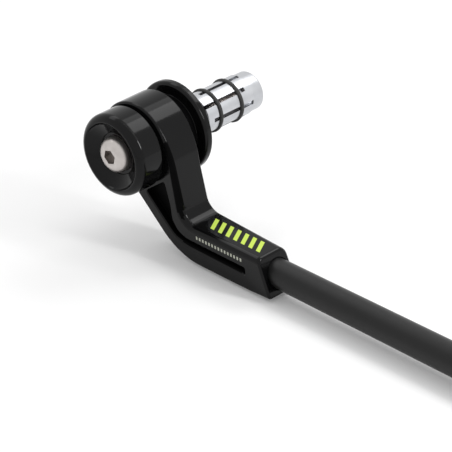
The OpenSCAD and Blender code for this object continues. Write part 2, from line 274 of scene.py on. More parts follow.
@dataclass(frozen=True)
class Marking:
    """Plain printed bars on the arm: slanted bars on the block's top and short ticks on its side."""

    bar_colour: Triple = (0.55, 0.72, 0.10)
    tick_colour: Triple = (0.42, 0.43, 0.36)
    bar_x: Point = (31.5, 60.0)
    bar_y: Point = (-16.4, -9.9)
    bar_z: Point = (-25.1, -20.0)
    bar_pitch: float = 3.85
    bar_share: float = 0.5
    bar_start: float = 0.25
    bar_slant: float = 0.55
    tick_x: Point = (29.0, 52.5)
    tick_y: Point = (-60.0, -18.0)
    tick_z: Point = (-29.2, -27.8)
    tick_pitch: float = 1.6
    tick_share: float = 0.55
    tick_start: float = 0.1
    soft_edge: float = 0.06
    ink_roughness: float = 0.25

    def band(self, sheet: FinishSheet, value: Socket, low: float, high: float) -> Socket:
        """Finds where a coordinate lies between two sizes, with a slightly soft edge.

        Args:
            sheet: The node tree.
            value: The coordinate, in metres.
            low: Lower size, in millimetres.
            high: Upper size, in millimetres.

        Returns:
            1 between the sizes and 0 outside them.
        """
        rise = sheet.maths("MULTIPLY_ADD", value, 1.0 / (self.soft_edge * MM), -low / self.soft_edge)
        fall = sheet.maths("MULTIPLY_ADD", value, -1.0 / (self.soft_edge * MM), high / self.soft_edge)
        clamp = sheet.add("ShaderNodeClamp")
        sheet.link(sheet.maths("MINIMUM", rise, fall), clamp.inputs["Value"])
        return clamp.outputs["Result"]

    def stripes(self, sheet: FinishSheet, along: Socket, pitch: float, share: float, start: float) -> Socket:
        """Repeats a stripe along a coordinate.

        Args:
            sheet: The node tree.
            along: The coordinate, in metres.
            pitch: Distance from stripe to stripe, in millimetres.
            share: Share of the pitch that is printed.
            start: Where the stripe starts in its pitch, in millimetres.

        Returns:
            1 on the stripes and 0 between them.
        """
        turn = sheet.maths("FRACT", sheet.maths("MULTIPLY", along, 1.0 / (pitch * MM)))
        return self.band(sheet, sheet.maths("MULTIPLY", turn, pitch * MM), start, share * pitch + start)

    def print_on(self, sheet: FinishSheet, colour: Socket, rough: Socket) -> tuple[Socket, Socket]:
        """Lays the printed bars over a finish.

        Args:
            sheet: The node tree.
            colour: The finish's colour.
            rough: The finish's roughness.

        Returns:
            The colour and the roughness with the print on them.
        """
        x, y, z = sheet.axes()
        slanted = sheet.maths("MULTIPLY_ADD", y, self.bar_slant, x)
        shift = self.bar_slant * self.bar_y[0]
        first = math.ceil((self.bar_x[0] + shift) / self.bar_pitch) * self.bar_pitch
        last = math.floor((self.bar_x[1] + shift) / self.bar_pitch) * self.bar_pitch
        bars = self.stripes(sheet, slanted, self.bar_pitch, self.bar_share, self.bar_start)
        for value, limits in ((slanted, (first, last)), (y, self.bar_y), (z, self.bar_z)):
            bars = sheet.maths("MULTIPLY", bars, self.band(sheet, value, *limits))
        ticks = self.stripes(sheet, x, self.tick_pitch, self.tick_share, self.tick_start)
        for value, limits in ((x, self.tick_x), (z, self.tick_z), (y, self.tick_y)):
            ticks = sheet.maths("MULTIPLY", ticks, self.band(sheet, value, *limits))
        colour = sheet.blend(bars, colour, self.bar_colour)
        colour = sheet.blend(ticks, colour, self.tick_colour)
        printed = sheet.maths("MAXIMUM", bars, ticks)
        return colour, sheet.maths("ADD", rough, sheet.maths("MULTIPLY", printed, self.ink_roughness))


@dataclass(frozen=True)
class Finish:
    """A surface whose colour and roughness wander with fine noise, over bumps and tool marks.

    The settings are sockets of the shader with their values. The lay's grain is used only where the
    finish has a lay.
    """

    name: str
    colour: Triple
    colour_high: Triple
    roughness: Point
    colour_grain: Grain
    rough_grain: Grain
    bumps: tuple[Grain, ...] = ()
    settings: Settings = ()
    lay: Lay = Lay.NONE
    lay_grain: Grain = Grain(1400.0)
    marking: Marking | None = None

    def make(self) -> bpy.types.Material:
        """Builds the material.

        Returns:
            The finished material.
        """
        sheet = FinishSheet(self.name)
        for socket, value in self.settings:
            sheet.shader.inputs[socket].default_value = value
        colour = sheet.blend(sheet.noise(self.colour_grain), self.colour, self.colour_high)
        rough = sheet.spread(sheet.noise(self.rough_grain), *self.roughness)
        if self.marking is not None:
            colour, rough = self.marking.print_on(sheet, colour, rough)
        sheet.link(colour, sheet.shader.inputs["Base Color"])
        sheet.link(rough, sheet.shader.inputs["Roughness"])
        for grain in self.bumps:
            sheet.bump(sheet.noise(grain), grain.depth)
        if self.lay is not Lay.NONE:
            sheet.bump(self.tool_marks(sheet), self.lay_grain.depth)
        return sheet.material

    def tool_marks(self, sheet: FinishSheet) -> Socket:
        """Works out the height of the tool's marks.

        Args:
            sheet: The node tree.

        Returns:
            The height's factor, along the way that the marks run.
        """
        if self.lay is Lay.ALONG_ROD:
            return sheet.noise(self.lay_grain)
        x, y, z = sheet.axes()
        if self.lay is Lay.TURNED_SIDES:
            return sheet.line_noise(y, self.lay_grain)
        squares = sheet.maths("ADD", sheet.maths("MULTIPLY", x, x), sheet.maths("MULTIPLY", z, z))
        return sheet.line_noise(sheet.maths("ADD", y, sheet.maths("SQRT", squares)), self.lay_grain)


@dataclass(frozen=True)
class GlossAnodise(Finish):
    """Deep black anodising with a polished gloss and the faint marks of the tool under it."""

    name: str = "black_anodised_gloss"
    colour: Triple = (0.0020, 0.0020, 0.0022)
    colour_high: Triple = (0.0036, 0.0036, 0.0038)
    roughness: Point = (0.09, 0.15)
    colour_grain: Grain = Grain(70.0, 2.0)
    rough_grain: Grain = Grain(160.0, 4.0)
    bumps: tuple[Grain, ...] = (Grain(900.0, 2.0, 0.0012),)
    settings: Settings = (("IOR", 1.26),)
    lay_grain: Grain = Grain(2600.0, 2.0, 0.0016)


@dataclass(frozen=True)
class ShadeAnodise(Finish):
    """Painted shade: black anodising made darker and almost without shine, standing in for the shade inside the pocket
    and the dark reflection along the arm's front edge.
    """

    name: str = "black_anodised_painted_shade"
    colour: Triple = (0.0010, 0.0010, 0.0011)
    colour_high: Triple = (0.0022, 0.0022, 0.0023)
    roughness: Point = (0.48, 0.60)
    colour_grain: Grain = Grain(260.0)
    rough_grain: Grain = Grain(500.0)
    bumps: tuple[Grain, ...] = (Grain(1600.0, 2.0, 0.006),)
    settings: Settings = (("Specular IOR Level", 0.028),)


@dataclass(frozen=True)
class SatinStainless(Finish):
    """Stainless steel as a cold-headed screw has it: pale, faintly warm and softly brushed."""

    name: str = "stainless_satin"
    colour: Triple = (0.46, 0.425, 0.405)
    colour_high: Triple = (0.60, 0.565, 0.545)
    roughness: Point = (0.28, 0.42)
    colour_grain: Grain = Grain(420.0, 4.0)
    rough_grain: Grain = Grain(700.0, 4.0)
    bumps: tuple[Grain, ...] = (Grain(1500.0, 3.0, 0.006), Grain(340.0, 2.0, 0.012))
    settings: Settings = (("Metallic", 1.0),)


@dataclass(frozen=True)
class SatinPolymer(Finish):
    """Black glass-filled polymer with a fine even grain."""

    name: str = "black_polymer_satin"
    colour: Triple = (0.0040, 0.0040, 0.0040)
    colour_high: Triple = (0.0070, 0.0070, 0.0070)
    roughness: Point = (0.34, 0.44)
    colour_grain: Grain = Grain(300.0, 4.0)
    rough_grain: Grain = Grain(500.0)
    bumps: tuple[Grain, ...] = (Grain(2600.0, 2.0, 0.010),)
    settings: Settings = (("Specular IOR Level", 0.27),)
    lay_grain: Grain = Grain(1400.0, 2.0, 0.006, (0.05, 1.0, 1.0))


@dataclass(frozen=True)
class TurnedAluminium(Finish):
    """Bare aluminium with the fine rings of the lathe."""

    name: str = "aluminium_turned"
    colour: Triple = (0.44, 0.45, 0.47)
    colour_high: Triple = (0.56, 0.57, 0.59)
    roughness: Point = (0.26, 0.38)
    colour_grain: Grain = Grain(220.0)
    rough_grain: Grain = Grain(400.0)
    settings: Settings = (("Metallic", 1.0),)
    lay: Lay = Lay.TURNED_SIDES
    lay_grain: Grain = Grain(3200.0, 2.0, 0.006)


@dataclass(frozen=True)
class MattRubber(Finish):
    """Black rubber, dull and faintly dusty."""

    name: str = "rubber_matt"
    colour: Triple = (0.013, 0.013, 0.013)
    colour_high: Triple = (0.030, 0.030, 0.029)
    roughness: Point = (0.62, 0.78)
    colour_grain: Grain = Grain(350.0, 4.0)
    rough_grain: Grain = Grain(500.0)
    bumps: tuple[Grain, ...] = (Grain(1800.0, 3.0, 0.012),)


@dataclass(frozen=True)
class BlackOxide(Finish):
    """Hardened steel blackened in oil, with a little bare metal showing."""

    name: str = "steel_black_oxide"
    colour: Triple = (0.022, 0.022, 0.024)
    colour_high: Triple = (0.075, 0.073, 0.070)
    roughness: Point = (0.32, 0.48)
    colour_grain: Grain = Grain(800.0, 4.0)
    rough_grain: Grain = Grain(900.0)
    bumps: tuple[Grain, ...] = (Grain(1700.0, 3.0, 0.008),)
    settings: Settings = (("Metallic", 0.6),)


class Bench:
    """The modelling steps that the pieces share, made with Blender's own operators."""

    @staticmethod
    def clear() -> None:
        """Leaves edit mode and deselects everything."""
        if bpy.context.object is not None and bpy.context.object.mode != "OBJECT":
            bpy.ops.object.mode_set(mode="OBJECT")
        bpy.ops.object.select_all(action="DESELECT")

    @classmethod
    def pick(cls, piece: bpy.types.Object) -> None:
        """Makes a piece the only one selected, and active."""
        cls.clear()
        piece.select_set(True)
        bpy.context.view_layer.objects.active = piece

    @classmethod
    def start_point(cls, name: str, at: Triple) -> bpy.types.Object:
        """Starts a piece from a small plane, merged to one point in edit mode.

        Args:
            name: The piece's name.
            at: The point, in millimetres.

        Returns:
            The new object, in edit mode with its point selected.
        """
        cls.clear()
        bpy.ops.mesh.primitive_plane_add(size=2 * MM, location=(0, 0, 0))
        piece = bpy.context.object
        piece.name = name
        bpy.ops.object.mode_set(mode="EDIT")
        bpy.ops.mesh.select_mode(type="VERT")
        bpy.ops.mesh.select_all(action="SELECT")
        bpy.ops.mesh.merge(type="CENTER")
        bpy.ops.transform.translate(value=tuple(v * MM for v in at))
        return piece

    @classmethod
    def lathe(cls, name: str, profile: Sequence[Point], steps: int, bar_axis: bool = True) -> bpy.types.Object:
        """Draws a closed profile point by point and spins it into a turned piece.

        Args:
            name: The piece's name.
            profile: Points as distance from the axis and distance along it, in millimetres.
            steps: Number of steps in the full turn.
            bar_axis: True turns it about the bar's axis, False about an axis along +X through the origin.

        Returns:
            The turned object, in object mode.
        """
        def at(point: Point) -> Triple:
            """Places a profile point beside the axis."""
            return (point[0], point[1], 0.0) if bar_axis else (point[1], point[0], 0.0)

        piece = cls.start_point(name, at(profile[0]))
        last = profile[0]
        for point in [*profile[1:], profile[0]]:
            a, b = at(last), at(point)
            move = tuple((q - p) * MM for p, q in zip(a, b))
            bpy.ops.mesh.extrude_vertices_move(TRANSFORM_OT_translate={"value": move})
            last = point
        bpy.ops.mesh.select_all(action="SELECT")
        bpy.ops.mesh.remove_doubles(threshold=1e-7)
        axis = (0, 1, 0) if bar_axis else (1, 0, 0)
        bpy.ops.mesh.spin(steps=steps, angle=2 * math.pi, center=(0, 0, 0), axis=axis)
        bpy.ops.mesh.select_all(action="SELECT")
        bpy.ops.mesh.remove_doubles(threshold=2e-6)
        bpy.ops.mesh.dissolve_degenerate(threshold=1e-7)
        bpy.ops.mesh.normals_make_consistent(inside=False)
        bpy.ops.object.mode_set(mode="OBJECT")
        return piece

    @classmethod
    def carry(cls, piece: bpy.types.Object, to: Triple) -> None:
        """Moves a piece's mesh, and leaves its object at the origin.

        Args:
            piece: The piece.
            to: The move, in millimetres.
        """
        cls.pick(piece)
        bpy.ops.transform.translate(value=tuple(v * MM for v in to))
        bpy.ops.object.transform_apply(location=True, rotation=True, scale=True)

    @classmethod
    def cylinder(
        cls, radius: float, length: float, centre: Triple, turn: Triple = (0, 0, 0), sides: int = 96
    ) -> bpy.types.Object:
        """Adds a cylinder.

        Args:
            radius: Its radius, in millimetres.
            length: Its length, in millimetres.
            centre: Its middle, in millimetres.
            turn: Its turn from upright about X, Y and Z, in degrees.
            sides: Number of sides.

        Returns:
            The cylinder, still with its place and turn in its object.
        """
        cls.clear()
        bpy.ops.mesh.primitive_cylinder_add(
            vertices=sides, radius=radius * MM, depth=length * MM,
            location=tuple(v * MM for v in centre), rotation=tuple(math.radians(v) for v in turn),
        )
        return bpy.context.object

    @staticmethod
    def close_skin() -> None:
        """Fills the last ring of a skin, and turns all its faces outwards."""
        bpy.ops.mesh.edge_face_add()
        bpy.ops.mesh.select_all(action="SELECT")
        bpy.ops.mesh.normals_make_consistent(inside=False)

    @classmethod
    def ring(cls, name: str, points: Sequence[Triple]) -> bpy.types.Object:
        """Adds a circle with as many points as the outline has, and draws it out to the outline.

        Args:
            name: The piece's name.
            points: The outline, in millimetres.

        Returns:
            The object, in edit mode with the outline selected.
        """
        cls.clear()
        bpy.ops.mesh.primitive_circle_add(
            vertices=len(points), radius=10 * MM, fill_type="NOTHING", location=(0, 0, 0)
        )
        piece = bpy.context.object
        piece.name = name
        bpy.ops.object.mode_set(mode="EDIT")
        bpy.ops.mesh.select_mode(type="VERT")
        mesh = bmesh.from_edit_mesh(piece.data)
        mesh.verts.ensure_lookup_table()
        layer = mesh.verts.layers.int.new("station")
        for i, point in enumerate(points):
            mesh.verts[i].co = Vector(point) * MM
            mesh.verts[i][layer] = i
        bmesh.update_edit_mesh(piece.data)
        bpy.ops.mesh.select_all(action="SELECT")
        return piece

    @classmethod
    def next_ring(cls, piece: bpy.types.Object, points: Sequence[Triple]) -> None:
        """Extrudes the selected ring and draws the new one out to the given points.

        Args:
            piece: The object in edit mode.
            points: The new ring's points, in millimetres, in the first ring's order.
        """
        bpy.ops.mesh.extrude_edges_move(TRANSFORM_OT_translate={"value": (0, 0, 0)})
        mesh = bmesh.from_edit_mesh(piece.data)
        layer = mesh.verts.layers.int["station"]
        for vertex in mesh.verts:
            if vertex.select:
                vertex.co = Vector(points[vertex[layer]]) * MM
        bmesh.update_edit_mesh(piece.data)

    @classmethod
    def cut(cls, piece: bpy.types.Object, cutter: bpy.types.Object) -> None:
        """Takes a cutter out of a piece with an applied Boolean modifier, and removes the cutter.

        Args:
            piece: The piece.
            cutter: The shape to take out of it.
        """
        cls.pick(piece)
        modifier = piece.modifiers.new("cut", "BOOLEAN")
        modifier.operation = "DIFFERENCE"
        modifier.solver = "EXACT"
        modifier.object = cutter
        bpy.ops.object.modifier_apply(modifier=modifier.name)
        bpy.data.objects.remove(cutter)

    @classmethod
    def bevel_edges(cls, piece: bpy.types.Object, wanted: EdgeTest, width: float, segments: int) -> None:
        """Bevels the edges that a test picks out.

        Args:
            piece: The piece.
            wanted: Says whether an edge is bevelled.
            width: Width of the bevel, in millimetres.
            segments: Number of faces across it.
        """
        cls.pick(piece)
        bpy.ops.object.mode_set(mode="EDIT")
        bpy.ops.mesh.select_mode(type="EDGE")
        bpy.ops.mesh.select_all(action="DESELECT")
        mesh = bmesh.from_edit_mesh(piece.data)
        for edge in mesh.edges:
            if wanted(edge):
                edge.select_set(True)
        mesh.select_flush_mode()
        bmesh.update_edit_mesh(piece.data)
        bpy.ops.mesh.bevel(
            offset=width * MM, offset_type="OFFSET", segments=segments, profile=0.5, clamp_overlap=False
        )
        bpy.ops.object.mode_set(mode="OBJECT")

    @classmethod
    def smooth(cls, piece: bpy.types.Object, angle: float = 30.0, weighted: bool = True) -> None:
        """Shades a piece smooth up to an angle, with flat faces kept flat.

        Args:
            piece: The piece.
            angle: Sharpest smooth edge, in degrees.
            weighted: True keeps large faces flat with an applied Weighted Normal modifier.
        """
        cls.pick(piece)
        bpy.ops.object.shade_smooth_by_angle(angle=math.radians(angle))
        if weighted:
            modifier = piece.modifiers.new("flats", "WEIGHTED_NORMAL")
            modifier.mode = "FACE_AREA"
            modifier.weight = 60
            modifier.keep_sharp = True
            bpy.ops.object.modifier_apply(modifier=modifier.name)

    @classmethod
    def settle(cls, piece: bpy.types.Object, finish: bpy.types.Material, slot: Slot, *nodes: str) -> bpy.types.Object:
        """Gives a finished piece its material and its body, and hides the CAD nodes it stands for.

        Args:
            piece: The piece.
            finish: Its material.
            slot: Its slot in the record; not used.
            nodes: The CAD nodes it replaces.

        Returns:
            The piece.
        """
        piece.data.materials.clear()
        piece.data.materials.append(finish)
        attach(piece, BODY)
        if nodes:
            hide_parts(*nodes)
        LOG.info("%s: %d faces, stands for %s", piece.name, len(piece.data.polygons), ", ".join(nodes) or "nothing")
        return piece


def arc(centre: Point, radius: float, start: float, end: float, count: int) -> list[Point]:
    """Returns points along an arc, both ends included.

    Args:
        centre: The arc's centre.
        radius: Its radius.
        start: First angle, in degrees.
        end: Last angle, in degrees.
        count: Number of steps between them.
    """
    out = []
    for i in range(count + 1):
        a = math.radians(start + (end - start) * i / count)
        out.append((centre[0] + radius * math.cos(a), centre[1] + radius * math.sin(a)))
    return out


def mix(a: float, b: float, share: float) -> float:
    """Returns the value at a share of the way from a to b."""
    return a + (b - a) * share


def shares(count: int) -> list[float]:
    """Returns the ends of a number of equal steps from 0 to 1."""
    return [i / count for i in range(1, count + 1)]


def tan(degrees: float) -> float:
    """Returns the tangent of an angle in degrees."""
    return math.tan(math.radians(degrees))


def limit(value: float) -> float:
    """Keeps a value between 0 and 1."""
    return max(0.0, min(1.0, value))


@dataclass
class Stack:
    """Where the pieces on the bar's axis sit, in millimetres."""

    bore_r: float = 4.25
    flange_t: float = 3.2
    neck_len: float = 5.4
    arm_t: float = 13.9
    ring_t: float = 1.5
    cap_len: float = 11.2
    recess_depth: float = 4.2

    @property
    def neck_y(self) -> float:
        """The arm's inner face at the neck."""
        return -self.flange_t - self.neck_len

    @property
    def arm_y(self) -> float:
        """The arm's outer face at its head."""
        return self.neck_y - self.arm_t

    @property
    def ring_y(self) -> float:
        """The cap's back face."""
        return self.arm_y - self.ring_t

    @property
    def cap_y(self) -> float:
        """The plane that the cap's front edge rounds up to."""
        return self.ring_y - self.cap_len

    @property
    def seat_y(self) -> float:
        """The recess floor that the screw head sits on."""
        return self.cap_y + self.recess_depth


@dataclass
class CapAssembly:
    """The turned cap, the ring behind it and the long screw that holds the stack."""

    stack: Stack
    finish: bpy.types.Material
    screw_finish: bpy.types.Material
    socket_shade_finish: bpy.types.Material
    ring_finish: bpy.types.Material
    cap_r: float = 16.0
    cap_round: float = 3.2
    mouth_r: float = 13.3
    lip_round: float = 0.42
    floor_r: float = 8.2
    ring_r: float = 14.5
    head_r: float = 7.0
    head_flat_r: float = 4.1
    head_h: float = 4.4
    head_side: float = 0.7
    hex_af: float = 5.0
    hex_depth: float = 2.8
    hex_turn: float = 12.0
    hex_edge: float = 0.18
    shank_r: float = 4.0
    shank_end: float = 37.0
    thread_start: float = 6.0
    thread_depth: float = 0.6
    thread_pitch: float = 1.25

    @property
    def face_y(self) -> float:
        """The flat on top of the screw's dome."""
        return self.stack.seat_y - self.head_h

    def build(self) -> None:
        """Builds and dresses the cap, its ring and the screw."""
        self.cap()
        self.ring()
        self.screw()

    def cap(self) -> bpy.types.Object:
        """Turns the cap with its rounded front edge and conical recess."""
        seat, back, bore = self.stack.seat_y, self.stack.ring_y, self.stack.bore_r
        edge = arc((self.cap_r - self.cap_round, self.stack.cap_y + self.cap_round), self.cap_round, 0, -75, 18)
        lip_y = edge[-1][1]
        cone, cone_end = (self.floor_r, seat - 0.4), (self.mouth_r - 0.25, lip_y + 0.75)
        profile = [(bore, seat + 0.3), (bore + 0.3, seat), (self.floor_r - 0.5, seat)]
        profile += [(self.floor_r - 0.15, seat - 0.1), cone]
        profile += [(mix(cone[0], cone_end[0], t), mix(cone[1], cone_end[1], t)) for t in shares(9)[:-1]]
        profile += arc((self.mouth_r + 0.15, lip_y + self.lip_round), self.lip_round, 200, 262, 6)
        profile += edge[::-1]
        profile += [(self.cap_r, back - 0.35), (self.cap_r - 0.1, back - 0.1), (self.cap_r - 0.35, back), (bore, back)]
        piece = Bench.lathe("turned_cap", profile, 192)
        Bench.smooth(piece)
        return Bench.settle(piece, self.finish, Slot.BLACK_ANODISED, "end_cap")

    def ring(self) -> bpy.types.Object:
        """Turns the dark ring between the cap and the arm."""
        a, b = self.stack.ring_y, self.stack.arm_y
        r, bore = self.ring_r, self.stack.bore_r
        profile = [(bore, a), (r - 0.3, a), (r - 0.09, a + 0.09), (r, a + 0.3)]
        profile += [(r, b - 0.3), (r - 0.09, b - 0.09), (r - 0.3, b), (bore, b)]
        piece = Bench.lathe("groove_ring", profile, 144)
        Bench.smooth(piece)
        return Bench.settle(piece, self.ring_finish, Slot.BLACK_POLYMER, "spacer_ring")

    def screw_profile(self) -> list[Point]:
        """Returns the screw's profile: dome, head, plain shank and thread grooves."""
        seat, r = self.stack.seat_y, self.shank_r
        rise = self.head_h - self.head_side
        span = self.head_r - self.head_flat_r
        bow = (span * span + rise * rise) / (2 * span)
        top = math.degrees(math.asin(min(1.0, rise / bow)))
        profile = [(0.0, self.face_y), (self.head_flat_r - 0.25, self.face_y)]
        profile += arc((self.head_r - bow, seat - self.head_side), bow, -top, 0, 14)
        profile += [(self.head_r, seat - 0.2), (self.head_r - 0.2, seat), (r, seat), (r, self.thread_start)]
        y = self.thread_start
        while y + self.thread_pitch < self.shank_end - 1.0:
            root = r - self.thread_depth
            profile += [(r, y + 0.12), (root, y + 0.55), (root, y + 0.75), (r, y + self.thread_pitch - 0.06)]
            y += self.thread_pitch
        return profile + [(r, self.shank_end - 0.9), (r - 0.9, self.shank_end), (0.0, self.shank_end)]

    def on_hex_rim(self, edge: bmesh.types.BMEdge) -> bool:
        """Says whether an edge lies on the rim of the hexagon socket.

        Args:
            edge: The edge.

        Returns:
            True when both its ends lie on the rim.
        """
        apothem = self.hex_af / 2
        corner = apothem / math.cos(math.radians(30))
        level = all(abs(v.co.y / MM - self.face_y) < NEAR for v in edge.verts)
        return level and all(apothem - NEAR < math.hypot(v.co.x, v.co.z) / MM < corner + NEAR for v in edge.verts)

    def in_socket(self, place: Vector) -> bool:
        """Says whether a face's centre lies in the hexagon socket."""
        sink = place.y / MM - self.face_y
        inside = math.hypot(place.x, place.z) / MM < self.hex_af / 2 + NEAR
        return inside and self.hex_edge / 2 < sink < self.hex_depth + NEAR

    def screw(self) -> bpy.types.Object:
        """Turns the domed screw with its thread and sinks its hexagon socket."""
        piece = Bench.lathe("domed_screw", self.screw_profile(), 96)
        centre, turn = (0, self.face_y, 0), (90, self.hex_turn, 0)
        Bench.cut(piece, Bench.cylinder(self.hex_af / math.sqrt(3), 2 * self.hex_depth, centre, turn, sides=6))
        Bench.bevel_edges(piece, self.on_hex_rim, self.hex_edge, 2)
        Bench.smooth(piece, 32.0)
        Bench.settle(piece, self.screw_finish, Slot.STAINLESS, "cap_screw")
        # Painted shade: the faces inside the hexagon socket take a darker copy of the stainless finish, for the shade
        # in the recess.
        piece.data.materials.append(self.socket_shade_finish)
        for side in piece.data.polygons:
            if self.in_socket(side.center):
                side.material_index = 1
        return piece


@dataclass
class Station:
    """One point of the arm's outline with the roundings of its outer and inner edge, in millimetres."""

    x: float
    z: float
    outer: float
    inner: float


@dataclass(frozen=True)
class ShadeBand:
    """Where the arm's front edge gets the painted shade, a dark band standing in for a dark reflection: it narrows and
    turns outwards towards the bend.
    """

    z: Point = (-23.5, 7.0)
    x_from: float = 8.0
    width: float = 3.2
    narrowing: float = 0.6
    narrow_from: float = 18.5
    turned: float = 0.02
    turning: float = 0.09
    turn_from: float = 16.5
    lean: float = 0.12
    sink: float = 2.7

    def holds(self, x: float, z: float, gap: float, sink: float, lean: float, turned: float) -> bool:
        """Says whether a face belongs to the band.

        Args:
            x: Its place along the rod.
            z: Its height.
            gap: How far it lies behind the arm's front face.
            sink: How far it lies behind the arm's outer side.
            lean: How much it faces forwards.
            turned: How much it faces outwards.

        Returns:
            True in the band.
        """
        width = self.width - self.narrowing * max(0.0, -self.narrow_from - z)
        least = self.turned + self.turning * max(0.0, -self.turn_from - z)
        placed = self.z[0] < z < self.z[1] and gap < width and x > self.x_from and sink < self.sink
        return placed and lean > self.lean and turned > least


